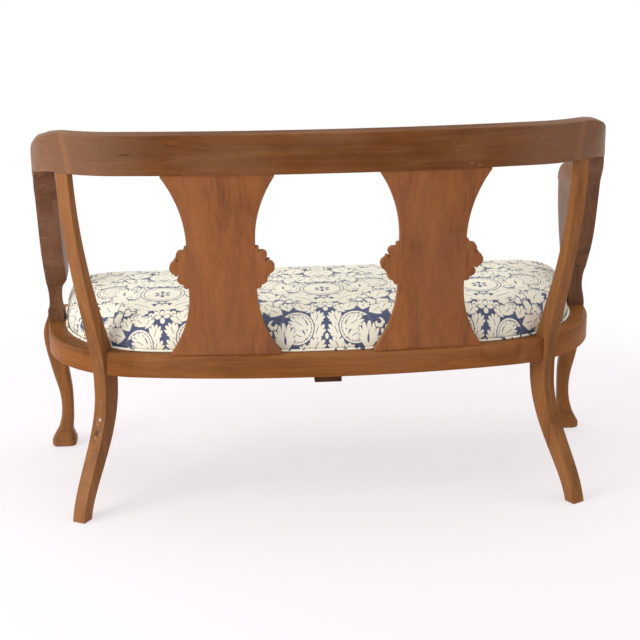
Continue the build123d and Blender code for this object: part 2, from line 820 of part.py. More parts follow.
def both_sides(pins):
    one_side = [dowel(*pin) for pin in pins]
    return one_side + [mirrored(peg) for peg in one_side]


def bored_both(piece, pins):
    for pin in pins:
        hole = dowel_hole(*pin)
        piece = piece - hole - mirrored(hole)
    return piece


crest = bored_both(crest, crest_pins)
arm = bored(arm, crest_pins + head_pins + arm_pins)
post = bored(post, head_pins + rear_pins + side_pins)
support = bored(support, arm_pins + foot_pins)
side_rail = bored(side_rail, foot_pins + side_pins + leg_side_pins)
rear_rail = bored_both(rear_rail, rear_pins)
front_rail = bored_both(front_rail, leg_front_pins)
leg = bored(leg, leg_side_pins + leg_front_pins)

crest_dowels = Compound(both_sides(crest_pins + head_pins))
support_dowels = Compound(both_sides(arm_pins + foot_pins))
frame_dowels = Compound(both_sides(rear_pins + side_pins + leg_side_pins + leg_front_pins))


def screw(start, direction):
    # The head rests on the surface at the start; the shank runs in along the direction.
    head = rod(start - direction * screw_head_height, direction, screw_head_height, screw_head_diameter)
    return head + rod(start, direction, screw_length, screw_diameter)


def screw_hole(start, direction):
    return rod(start - direction, direction, screw_length + 1 + hole_clearance,
               screw_diameter + 2 * hole_clearance)


block_level = up * (rail_bottom + rail_height / 2)
rear_screws = []
for side in (-1, 1):
    place = post_corner + post_along * (post_thickness / 2 + side * block_width * 0.32)
    rear_screws.append((place - post_normal * (rail_thickness + block_depth) + block_level, post_normal))
front_corner = inner_line.side_point(seat_front + front_rail_thickness)
near = front_corner - Vector(front_block_leg, 0, 0)
far = front_corner - forward(seat_line.side_angle) * front_block_leg
face_along = (far - near).normalized()
into_leg = Vector(face_along.Y, -face_along.X, 0)
front_screws = [((near + far) / 2 + block_level, into_leg)]

for start, direction in rear_screws:
    hole = screw_hole(start, direction)
    rear_block = rear_block - hole
    side_rail = side_rail - hole
    rear_rail = rear_rail - hole - mirrored(hole)
for start, direction in front_screws:
    hole = screw_hole(start, direction)
    front_block = front_block - hole
    leg = leg - hole
    side_rail = side_rail - hole
    front_rail = front_rail - hole - mirrored(hole)

brace_screw_starts = []
for y in (seat_front + front_rail_thickness / 2, seat_back - rail_thickness / 2):
    for x in (-brace_width / 4, brace_width / 4):
        brace_screw_starts.append(Vector(x, y, rail_bottom - brace_thickness))
for start in brace_screw_starts:
    hole = screw_hole(start, up)
    brace = brace - hole
    front_rail = front_rail - hole
    rear_rail = rear_rail - hole

one_side_screws = [screw(*place) for place in rear_screws + front_screws]
block_screws = Compound(one_side_screws + [mirrored(peg) for peg in one_side_screws])
brace_screws = Compound([screw(start, up) for start in brace_screw_starts])

# Assembly: +X is the sitter's left

parts = {
    "crest_rail": crest,
    "rear_seat_rail": rear_rail,
    "front_seat_rail": front_rail,
    "seat_brace": brace,
    "brace_screws": brace_screws,
    "corner_block_screws": block_screws,
    "crest_dowels": crest_dowels,
    "arm_support_dowels": support_dowels,
    "seat_frame_dowels": frame_dowels,
    "webbing_crosswise": webbing_crosswise,
    "webbing_lengthwise": webbing_lengthwise,
    "burlap": burlap,
    "seat_pad": pad,
    "seat_cover": cover,
    "seat_welt": welt,
}
paired = {
    "arm_rail": arm,
    "arm_support": support,
    "rear_post": post,
    "splat": splat,
    "splat_ear_outer": outer_ear,
    "splat_ear_inner": inner_ear,
    "side_seat_rail": side_rail,
    "front_leg": leg,
    "corner_block_front": front_block,
    "corner_block_rear": rear_block,
}
for name, shape in paired.items():
    parts[name + "_left"] = shape
    parts[name + "_right"] = mirrored(shape)

boxes = [shape.bounding_box() for shape in parts.values()]
middle_x = (min(box.min.X for box in boxes) + max(box.max.X for box in boxes)) / 2
middle_y = (min(box.min.Y for box in boxes) + max(box.max.Y for box in boxes)) / 2
to_origin = Pos(-middle_x, -middle_y, -min(box.min.Z for box in boxes))
for name, shape in parts.items():
    placed = to_origin * shape
    placed.label = name
    export_step(placed, "parts/" + name + ".step")
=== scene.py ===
import math
import bmesh
import bpy
from mathutils import Matrix, Vector


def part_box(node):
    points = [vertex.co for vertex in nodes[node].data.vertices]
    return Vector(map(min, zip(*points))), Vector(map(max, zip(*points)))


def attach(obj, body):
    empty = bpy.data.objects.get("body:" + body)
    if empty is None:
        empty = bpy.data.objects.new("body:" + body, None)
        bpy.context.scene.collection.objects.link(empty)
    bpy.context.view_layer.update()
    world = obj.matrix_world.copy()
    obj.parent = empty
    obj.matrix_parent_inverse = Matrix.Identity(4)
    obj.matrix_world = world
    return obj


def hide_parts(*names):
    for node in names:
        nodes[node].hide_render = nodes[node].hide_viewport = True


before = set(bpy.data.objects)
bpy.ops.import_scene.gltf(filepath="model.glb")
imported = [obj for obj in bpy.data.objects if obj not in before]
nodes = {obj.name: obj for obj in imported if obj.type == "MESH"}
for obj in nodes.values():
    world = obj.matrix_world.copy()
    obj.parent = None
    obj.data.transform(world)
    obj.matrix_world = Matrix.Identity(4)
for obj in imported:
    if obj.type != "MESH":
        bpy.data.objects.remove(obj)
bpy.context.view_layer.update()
bpy.ops.object.select_all(action="DESELECT")

# places read off the frame, metres
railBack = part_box("rear_seat_rail")[1].y  # rear face of the seat frame
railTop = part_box("rear_seat_rail")[1].z
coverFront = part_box("seat_cover")[0].y

# corners in plan of the crest and arm line, the seat line and the cover: centre, radius,
# and the degrees at which each corner starts and ends
crestBend = {"x": 0.401, "y": railBack - 0.1763, "radius": 0.219, "swing": 7.6, "turn": 87.5}
seatBend = {"x": 0.359, "y": railBack - 0.2997, "radius": 0.265, "swing": 11.0, "turn": 84.0}
coverBend = {"x": 0.3273, "y": railBack - 0.306, "radius": 0.250, "swing": 10.1, "turn": 84.0,
             "back": railBack - 0.027, "bow": 2.115}
postTurn = math.radians(30)  # the rear posts stand turned towards the corners


# millimetres for the lens, metres for the place, radians for the turns, pixels for the photograph's side
photoCamera = {"focal": 82.42, "sensor": 36.0, "x": 0.1907, "behind": 2.9699, "z": 1.3205,
               "yaw": -0.0587, "pitch": 0.2901, "roll": -0.0159, "pixels": 640}


def cameraAxes():
    # the camera's place, and which way its right, its top and its view point
    yaw, pitch, roll = photoCamera["yaw"], photoCamera["pitch"], photoCamera["roll"]
    ahead = Vector((math.sin(yaw) * math.cos(pitch), -math.cos(yaw) * math.cos(pitch), -math.sin(pitch)))
    level = Vector((-math.cos(yaw), -math.sin(yaw), 0))
    upright = level.cross(ahead)
    right = math.cos(roll) * level + math.sin(roll) * upright
    up = -math.sin(roll) * level + math.cos(roll) * upright
    place = Vector((photoCamera["x"], railBack + photoCamera["behind"], photoCamera["z"]))
    return place, right, up, ahead


def shownAt(name, pixel):
    # the point of a solid that shows at a pixel of the photograph
    place, right, up, ahead = cameraAxes()
    middle = photoCamera["pixels"] / 2
    perPixel = photoCamera["sensor"] / photoCamera["focal"] / photoCamera["pixels"]
    towards = ahead + (right * (pixel[0] - middle) - up * (pixel[1] - middle)) * perPixel
    hit, point, normal, face = nodes[name].ray_cast(place, towards.normalized())
    if not hit:
        print("no point of", name, "shows at", pixel)
    return point


class Node:
    # one shader socket; sums and products of values become Math nodes
    def __init__(self, tree, socket):
        self.tree = tree
        self.socket = socket

    def add(self, kind, settings=None, out=0, **links):
        node = self.tree.nodes.new(kind)
        for key, value in (settings or {}).items():
            if key == "stops":
                ramp = node.color_ramp
                while len(ramp.elements) < len(value):
                    ramp.elements.new(0.5)
                for element, (place, colour) in zip(ramp.elements, value):
                    element.position = place
                    element.color = (*colour, 1)
            else:
                setattr(node, key, value)
        for name, value in links.items():
            byNumber = name[0] == "i" and name[1:].isdigit()  # i0, i1 and so on, where sockets share a name
            target = node.inputs[int(name[1:]) if byNumber else name]
            if isinstance(value, Node):
                self.tree.links.new(value.socket, target)
            else:
                target.default_value = value
        return Node(self.tree, node.outputs[out])

    def math(self, operation, a, b=None, clamp=False):
        links = {"i0": a} if b is None else {"i0": a, "i1": b}
        return self.add("ShaderNodeMath", {"operation": operation, "use_clamp": clamp}, **links)

    def __add__(self, other):
        return self.math("ADD", self, other)

    __radd__ = __add__

    def __sub__(self, other):
        return self.math("SUBTRACT", self, other)

    def __rsub__(self, other):
        return self.math("SUBTRACT", other, self)

    def __mul__(self, other):
        return self.math("MULTIPLY", self, other)

    __rmul__ = __mul__

    def __truediv__(self, other):
        return self.math("DIVIDE", self, other)

    def __rtruediv__(self, other):
        return self.math("DIVIDE", other, self)

    def __abs__(self):
        return self.math("ABSOLUTE", self)

    def clamped(self):
        return self.math("ADD", self, 0.0, clamp=True)

    def least(self, other):
        return self.math("MINIMUM", self, other)

    def most(self, other):
        return self.math("MAXIMUM", self, other)

    def sine(self):
        return self.math("SINE", self)

    def cosine(self):
        return self.math("COSINE", self)

    def power(self, other):
        return self.math("POWER", self, other)

    def over(self, edge, soft):
        # 0 below the edge, 1 above it, with a soft step
        return ((self - (edge - soft)) / (2 * soft)).clamped()

    def xyz(self, axis):
        return self.add("ShaderNodeSeparateXYZ", out="XYZ".index(axis), Vector=self)

    def vector(self, x, y, z):
        return self.add("ShaderNodeCombineXYZ", X=x, Y=y, Z=z)

    def noise(self, where, scale, detail=2.0, rough=0.5, distort=0.0, out=0):
        return self.add("ShaderNodeTexNoise", out=out, Vector=where, Scale=scale, Detail=detail,
                        Roughness=rough, Distortion=distort)

    def blend(self, factor, a, b):
        # mixes two colours
        return self.add("ShaderNodeMix", {"data_type": "RGBA"}, out=2, i0=factor, i6=a, i7=b)

    def attribute(self, name, out):
        return self.add("ShaderNodeAttribute", {"attribute_name": name}, out=out)

    def length(self, where):
        return self.add("ShaderNodeVectorMath", {"operation": "LENGTH"}, out="Value", i0=where)


def newMaterial(name):
    material = bpy.data.materials.new(name)
    material.use_nodes = True
    tree = material.node_tree
    tree.nodes.clear()
    output = tree.nodes.new("ShaderNodeOutputMaterial")
    shader = tree.nodes.new("ShaderNodeBsdfPrincipled")
    tree.links.new(shader.outputs[0], output.inputs[0])
    return material, shader, Node(tree, None)


def feed(shader, **values):
    for name, value in values.items():
        socket = shader.inputs[name.replace("_", " ")]
        if isinstance(value, Node):
            value.tree.links.new(value.socket, socket)
        else:
            socket.default_value = value


def rgb(r, g, b):
    # screen colour 0 to 255 as the linear value that the shader takes
    def linear(c):
        c = c / 255
        return c / 12.92 if c <= 0.04045 else ((c + 0.055) / 1.055) ** 2.4
    return (linear(r), linear(g), linear(b), 1)


# wood

woodTones = {
    "crest": {"light": rgb(132, 83, 38), "mid": rgb(107, 62, 23),
              "dark": rgb(76, 43, 16), "cool": rgb(128, 97, 75)},
    "rail": {"light": rgb(156, 101, 52), "mid": rgb(131, 80, 36),
             "dark": rgb(96, 57, 26), "cool": rgb(120, 79, 49)},
    "splat": {"light": rgb(160, 99, 50), "mid": rgb(137, 84, 45),
              "dark": rgb(106, 63, 37), "cool": rgb(118, 76, 55)},
    "post": {"light": rgb(164, 111, 60), "mid": rgb(138, 91, 48),
             "dark": rgb(98, 63, 34), "cool": rgb(120, 85, 60)},
    "support": {"light": rgb(132, 95, 69), "mid": rgb(110, 77, 55),
                "dark": rgb(82, 56, 40), "cool": rgb(118, 91, 76)},
    "plain": {"light": rgb(92, 60, 38), "mid": rgb(76, 48, 30),
              "dark": rgb(56, 35, 22), "cool": rgb(74, 52, 38)},
}
# old marks in the finish: the solid, then each mark's pixel in the photograph, half sizes in metres, colour
woodMarks = {
    "post": {"on": "rear_post_left", "marks": (
        {"pixel": (100.0, 420.0), "half": (0.0045, 0.0045, 0.0045), "colour": rgb(196, 178, 158)},
        {"pixel": (97.6, 424.5), "half": (0.0040, 0.0040, 0.0040), "colour": rgb(168, 112, 84)},
        {"pixel": (96.8, 433.6), "half": (0.0050, 0.0050, 0.0120), "colour": rgb(84, 56, 40)},
        {"pixel": (95.5, 438.0), "half": (0.0036, 0.0036, 0.0036), "colour": rgb(176, 120, 94)},
    )},
    "support": {"on": "arm_support_left", "marks": (
        {"pixel": (45.0, 238.0), "half": (0.0090, 0.0040, 0.0010), "colour": rgb(178, 132, 98)},
        {"pixel": (48.0, 262.0), "half": (0.0080, 0.0040, 0.0014), "colour": rgb(150, 110, 84)},
    )},
    "crest": {"on": "crest_rail", "marks": (
        {"pixel": (124.0, 155.0), "half": (0.0180, 0.0080, 0.0026), "colour": rgb(84, 58, 38)},
        {"pixel": (458.0, 150.0), "half": (0.0036, 0.0040, 0.0010), "colour": rgb(172, 124, 84)},
        {"pixel": (472.0, 163.0), "half": (0.0030, 0.0040, 0.0022), "colour": rgb(168, 120, 80)},
        {"pixel": (480.0, 165.0), "half": (0.0050, 0.0040, 0.0009), "colour": rgb(172, 124, 84)},
    )},
}
woodFinish = {
    # scales of the noises, per metre along the grain and across it
    "sway": (3.2, 5.0), "figure": (0.9, 26.0), "streak": (2.4, 170.0), "cloud": (4.0, 7.0),
    "pores": (34.0, 520.0), "nicks": (70.0, 210.0),
    "rough": 0.42, "plainRough": 0.6, "coat": 0.05, "coatRough": 0.18, "ior": 1.45, "specular": 0.03,
    # worn: the lighter tone of nicks and worn edges; on the edges it is also a painted highlight
    "bump": 0.12, "bumpDepth": 0.0006, "worn": rgb(176, 122, 84), "markStrength": 0.8,
}


def woodMaterial(name, kind, polished=True):
    tone = woodTones[kind]
    material, shader, make = newMaterial(name)
    grain = make.attribute("grain", "Vector")
    wear = make.attribute("wear", "Fac")
    faded = make.attribute("faded", "Fac")
    along, across, deep = grain.xyz("X"), grain.xyz("Y"), grain.xyz("Z")

    def grained(layer, detail, rough=0.5, distort=0.0, shift=0.0):
        # noise drawn out along the grain
        run, fine = woodFinish[layer]
        drawn = make.vector(along * run, across * fine + shift, deep * fine)
        return make.noise(drawn, 1.0, detail, rough, distort)

    sway = grained("sway", 2.0) - 0.5
    figure = grained("figure", 5.0, 0.62, 0.4, sway * 1.6)
    streak = grained("streak", 3.0, 0.6, 0.0, sway * 6.0)
    cloud = grained("cloud", 3.0)
    pore = grained("pores", 2.0).over(0.66, 0.05)
    shade = (figure * 0.62 + streak * 0.3 + cloud * 0.26 - 0.09).clamped()
    stops = [(0.34, tone["dark"][:3]), (0.5, tone["mid"][:3]), (0.68, tone["light"][:3])]
    colour = make.add("ShaderNodeValToRGB", {"stops": stops}, Fac=shade)
    # the cool tone in random cloudy patches, and as a painted reflection greying the crest's ends and the
    # arms
    colour = make.blend((cloud.over(0.55, 0.14) * 0.4).most(faded * 0.75), colour, tone["cool"])
    colour = make.blend(pore * 0.42, colour, tone["dark"])
    if polished:
        # sharp edges lighter: partly wear, partly a painted highlight on the rounded edges
        colour = make.blend((wear * (0.3 + cloud * 0.5)).clamped() * 0.5, colour, woodFinish["worn"])
        colour = make.blend(grained("nicks", 0.0).over(0.86, 0.012) * 0.4, colour, woodFinish["worn"])
    where = make.add("ShaderNodeTexCoord", out="Object")
    worn = woodMarks.get(kind, {"marks": ()})
    for mark in worn["marks"]:
        spot = make.add("ShaderNodeMapping", {"vector_type": "TEXTURE"}, Vector=where,
                        Location=shownAt(worn["on"], mark["pixel"]), Scale=mark["half"])
        inside = 1 - make.length(spot).over(0.8, 0.2)
        colour = make.blend(inside * woodFinish["markStrength"], colour, mark["colour"])
    base = woodFinish["rough" if polished else "plainRough"]
    rough = base + (streak - 0.5) * 0.16 + pore * 0.1 - cloud * 0.06
    bump = make.add("ShaderNodeBump", Strength=woodFinish["bump"], Distance=woodFinish["bumpDepth"],
                    Height=streak * 0.35 - pore * 0.8)
    feed(shader, Base_Color=colour, Roughness=rough, Normal=bump, IOR=woodFinish["ior"],
         Specular_IOR_Level=woodFinish["specular"])
    if polished:
        feed(shader, Coat_Weight=woodFinish["coat"], Coat_Roughness=woodFinish["coatRough"])
    return material


crestWood = woodMaterial("crestWood", "crest")
railWood = woodMaterial("railWood", "rail")
supportWood = woodMaterial("supportWood", "support")
splatWood = woodMaterial("splatWood", "splat")
postWood = woodMaterial("postWood", "post")
plainWood = woodMaterial("plainWood", "plain", polished=False)
print("wood materials ready")


def bendPlace(bend, x, y):
    # distance along a bowed line, and distance out from it, for a point in plan
    side = -1 if x < 0 else 1
    dx, dy = abs(x) - bend["x"], y - bend["y"]
    turn = math.degrees(math.atan2(dx, dy))
    start = bend["x"] + bend["radius"] * math.sin(math.radians(bend["swing"]))
    if dx < 0 and dy > 0 or 0 <= turn < bend["swing"]:
        return x, dy - bend["radius"]
    if turn <= bend["turn"] and dx > 0:
        run = start + bend["radius"] * math.radians(turn - bend["swing"])
        return side * run, math.hypot(dx, dy) - bend["radius"]
    last = math.radians(bend["turn"])
    run = start + bend["radius"] * math.radians(bend["turn"] - bend["swing"])
    ahead = dx * math.cos(last) - dy * math.sin(last)
    out = dx * math.sin(last) + dy * math.cos(last)
    return side * (run + ahead), out - bend["radius"]


def grainPlace(kind, co):
    # along the grain, across it, and into the wood
    if kind == "crest":
        run, out = bendPlace(crestBend, co.x, co.y)
        return run, co.z, out
    if kind == "rail":
        run, out = bendPlace(seatBend, co.x, co.y)
        return run, co.z, out
    if kind == "post":
        side = -1 if co.x < 0 else 1
        out = abs(co.x) * math.sin(postTurn) + co.y * math.cos(postTurn)
        across = abs(co.x) * math.cos(postTurn) - co.y * math.sin(postTurn)
        return co.z, side * across, out
    if kind == "upright":
        return co.z, co.y, co.x
    if kind == "board":
        return co.z, co.x, co.y
    return co.x, co.z, co.y


woodPieces = {
    # node: grain, wood, edge rounding in metres
    "crest_rail": ("crest", crestWood, 0.0),
    "arm_rail_left": ("crest", crestWood, 0.0),
    "arm_rail_right": ("crest", crestWood, 0.0),
    "arm_support_left": ("upright", supportWood, 0.0135),
    "arm_support_right": ("upright", supportWood, 0.0135),
    "rear_post_left": ("post", postWood, 0.0028),
    "rear_post_right": ("post", postWood, 0.0028),
    "splat_left": ("board", splatWood, 0.0012),
    "splat_right": ("board", splatWood, 0.0012),
    "splat_ear_outer_left": ("board", splatWood, 0.0008),
    "splat_ear_outer_right": ("board", splatWood, 0.0008),
    "splat_ear_inner_left": ("board", splatWood, 0.0008),
    "splat_ear_inner_right": ("board", splatWood, 0.0008),
    "rear_seat_rail": ("rail", railWood, 0.001),
    "side_seat_rail_left": ("rail", railWood, 0.001),
    "side_seat_rail_right": ("rail", railWood, 0.001),
    "front_seat_rail": ("length", railWood, 0.002),
    "front_leg_left": ("upright", postWood, 0.0015),
    "front_leg_right": ("upright", postWood, 0.0015),
    "seat_brace": ("upright", plainWood, 0.001),
    "corner_block_front_left": ("length", plainWood, 0.001),
    "corner_block_front_right": ("length", plainWood, 0.001),
    "corner_block_rear_left": ("length", plainWood, 0.001),
    "corner_block_rear_right": ("length", plainWood, 0.001),
}


def activate(obj):
    bpy.ops.object.select_all(action="DESELECT")
    obj.select_set(True)
    bpy.context.view_layer.objects.active = obj


nodeMerge = {"distance": 0.00002, "flat": 0.6}  # metres, and degrees between faces that become one


def copyNode(name, newName):
    # a merged copy of a solid's mesh, as an object of its own
    obj = bpy.data.objects.new(newName, nodes[name].data.copy())
    bpy.context.scene.collection.objects.link(obj)
    obj.data.materials.clear()
    activate(obj)
    bpy.ops.object.mode_set(mode="EDIT")
    bpy.ops.mesh.select_all(action="SELECT")
    bpy.ops.mesh.remove_doubles(threshold=nodeMerge["distance"])
    bpy.ops.mesh.dissolve_limited(angle_limit=math.radians(nodeMerge["flat"]))
    bpy.ops.object.mode_set(mode="OBJECT")
    if obj.data.has_custom_normals:
        bpy.ops.mesh.customdata_custom_splitnormals_clear()
    return obj


def applyModifier(obj, kind, **settings):
    activate(obj)
    modifier = obj.modifiers.new(kind, kind)
    for key, value in settings.items():
        setattr(modifier, key, value)
    bpy.ops.object.modifier_apply(modifier=modifier.name)


def ease(share):
    # a smooth step from 0 to 1
    share = min(1.0, max(0.0, share))
    return share * share * (3 - 2 * share)


pieceMarks = {
    "wearAndGlintTurn": 0.5,  # radians between faces at which an edge is fully worn and carries its full painted highlight
    "grainShift": (3.7, 1.3, 0.9),  # moves the figure on from piece to piece
    # the painted reflection at the ends grows between these distances
    "sheenFrom": 0.28, "sheenOver": 0.22,  # metres from the middle of the back
}


def markWearAndGlint(obj):
    # how sharply the faces turn at each point: edges come out lighter, partly as wear and partly as a painted
    # highlight
    mesh = bmesh.new()
    mesh.from_mesh(obj.data)
    wear = []
    for vert in mesh.verts:
        turn = [edge.calc_face_angle(0.0) for edge in vert.link_edges]
        wear.append(min(1.0, max(turn, default=0.0) / pieceMarks["wearAndGlintTurn"]))
    mesh.free()
    layer = obj.data.attributes.new("wear", "FLOAT", "POINT")
    layer.data.foreach_set("value", wear)


def markGrain(obj, kind, shift):
    layer = obj.data.attributes.new("grain", "FLOAT_VECTOR", "POINT")
    values = []
    for vert in obj.data.vertices:
        place = grainPlace(kind, vert.co)
        values.extend(part + shift * step for part, step in zip(place, pieceMarks["grainShift"]))
    layer.data.foreach_set("vector", values)


def markPaintedEndSheen(obj, name):
    # a painted reflection: the wood is greyer towards the ends of the crest and over the arms
    layer = obj.data.attributes.new("faded", "FLOAT", "POINT")
    ends = name.startswith(("crest", "arm_rail"))
    values = []
    for vert in obj.data.vertices:
        share = (abs(vert.co.x) - pieceMarks["sheenFrom"]) / pieceMarks["sheenOver"]
        values.append(ease(share) if ends else 0.0)
    layer.data.foreach_set("value", values)


# distances along the arm line where its top starts to fall, has fallen, and meets the armrest's own slope;
# the fall, how deep it reaches, the outer edge's further rounding and its width, and the step of the profile
armCorner = {"start": 0.535, "fallen": 0.685, "fade": 0.69, "end": 0.82, "fall": 0.022, "deep": 0.055,
             "round": 0.010, "roundIn": 0.030, "step": 0.010}


def easeCorner(obj):
    # lets the arm's top and outer edge fall away where it turns the corner
    places = [bendPlace(crestBend, vert.co.x, vert.co.y) for vert in obj.data.vertices]
    tops, outers = {}, {}
    for vert, (run, out) in zip(obj.data.vertices, places):
        step = int(abs(run) / armCorner["step"])
        tops[step] = max(tops.get(step, 0.0), vert.co.z)
        outers[step] = max(outers.get(step, -1.0), out)

    def level(table, run):
        spot = run / armCorner["step"] - 0.5
        low = math.floor(spot)
        first = table.get(low, table.get(low + 1))
        return first + (table.get(low + 1, first) - first) * (spot - low)

    for vert, (run, out) in zip(obj.data.vertices, places):
        run = abs(run)
        share = ease((run - armCorner["start"]) / (armCorner["fallen"] - armCorner["start"]))
        share *= 1 - ease((run - armCorner["fade"]) / (armCorner["end"] - armCorner["fade"]))
        if share > 0:
            high = ease((vert.co.z - level(tops, run) + armCorner["deep"]) / armCorner["deep"])
            outer = 1 - min(1.0, max(0.0, level(outers, run) - out) / armCorner["roundIn"])
            vert.co.z -= share * high * (armCorner["fall"] + armCorner["round"] * outer * outer)


earCore = {"wide": 0.024, "tall": 0.037, "thin": 0.0004, "sides": 64}


def fillEar(ear, name):
    # a flat core behind the scallops, so that the cuts between them stay shallow
    normal = max(ear.data.polygons, key=lambda face: face.area).normal.copy()
    if normal.y < 0:
        normal.negate()
    depths = [vert.co.dot(normal) for vert in ear.data.vertices]
    low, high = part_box(name)
    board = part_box("splat_left" if name.endswith("left") else "splat_right")
    outward = 1 if low.x + high.x > board[0].x + board[1].x else -1
    root = low.x if outward > 0 else high.x
    middle = Vector((root, 0, (low.z + high.z) / 2))
    middle.y = ((min(depths) + max(depths)) / 2 - middle.dot(normal)) / normal.y
    bpy.ops.object.select_all(action="DESELECT")
    bpy.ops.mesh.primitive_cylinder_add(vertices=earCore["sides"], radius=1.0, depth=1.0, location=middle,
                                        rotation=normal.to_track_quat("Z", "Y").to_euler())
    core = bpy.context.object
    core.scale = (earCore["wide"], earCore["tall"], max(depths) - min(depths) - earCore["thin"])
    bpy.ops.object.transform_apply(location=True, rotation=True, scale=True)
    bpy.ops.object.mode_set(mode="EDIT")
    bpy.ops.mesh.select_all(action="SELECT")
    bpy.ops.mesh.bisect(plane_co=middle, plane_no=(outward, 0, 0), clear_inner=True, use_fill=True)
    bpy.ops.object.mode_set(mode="OBJECT")
    ear.select_set(True)
    bpy.context.view_layer.objects.active = ear
    bpy.ops.object.join()


# degrees; a rounding wider than "wide" metres gets more segments
woodEdges = {"bevelAngle": 40, "smoothAngle": 32, "wide": 0.01, "segments": 3, "wideSegments": 6}


def finishWood():
    for count, (name, (kind, material, edge)) in enumerate(woodPieces.items()):
        obj = copyNode(name, name + "_finish")
        if name.startswith("arm_rail"):
            easeCorner(obj)
        if edge:
            segments = woodEdges["wideSegments" if edge > woodEdges["wide"] else "segments"]
            applyModifier(obj, "BEVEL", width=edge, segments=segments, limit_method="ANGLE",
                          angle_limit=math.radians(woodEdges["bevelAngle"]), harden_normals=False)
        if name.startswith("splat_ear"):
            fillEar(obj, name)
        activate(obj)
        bpy.ops.object.shade_smooth_by_angle(angle=math.radians(woodEdges["smoothAngle"]))
        markWearAndGlint(obj)
        markPaintedEndSheen(obj, name)
        markGrain(obj, kind, count)
        obj.data.materials.append(material)
        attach(obj, "root")
        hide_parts(name)
    print("wood pieces finished:", len(woodPieces))


finishWood()

# seat cushion

cushion = {
    "grow": 0.0022, "foot": 0.0055, "seat": 0.0005,  # pad to cover, lower edge, gap over the rails
    "voxel": 0.006, "pressure": 4.0, "steps": 18, "cap": 0.006, "stiff": 18.0,
    "holdFrom": 0.004, "holdOver": 0.03,  # heights over the rails between which the cloth comes free
    "cream": rgb(252, 248, 230), "creamThread": rgb(228, 218, 186),
    "ground": rgb(84, 92, 124), "groundThread": rgb(60, 69, 100),
    # cloth length past the plateau's edge, by inset from the rim and then by height, metres
    "plateau": 0.140, "shoulder": 0.026, "overTop": 1.02, "lip": 0.057,
    "drop": ((0.070, 0.116), (0.050, 0.146), (0.022, 0.175), (0.0, 0.197)),
}
# metres; the scales of wander, threads and slub are per metre
weave = {"repeat": 0.355, "drop": 0.205, "edge": 0.0005, "gap": 0.0020, "wander": 0.002, "wanderScale": 60.0,
         "threads": 2600.0, "slub": (90.0, 900.0), "bump": 0.3, "bumpDepth": 0.0004, "sheen": 0.15}
# small leaf cells between the drawn leaves: where they start up the cloth, their scale and curl, bare patches
filling = {"start": 0.104, "cells": 38.0, "gap": 0.065, "swirl": 70.0, "curl": 0.03,
           "patches": 38.0, "bare": 0.61}


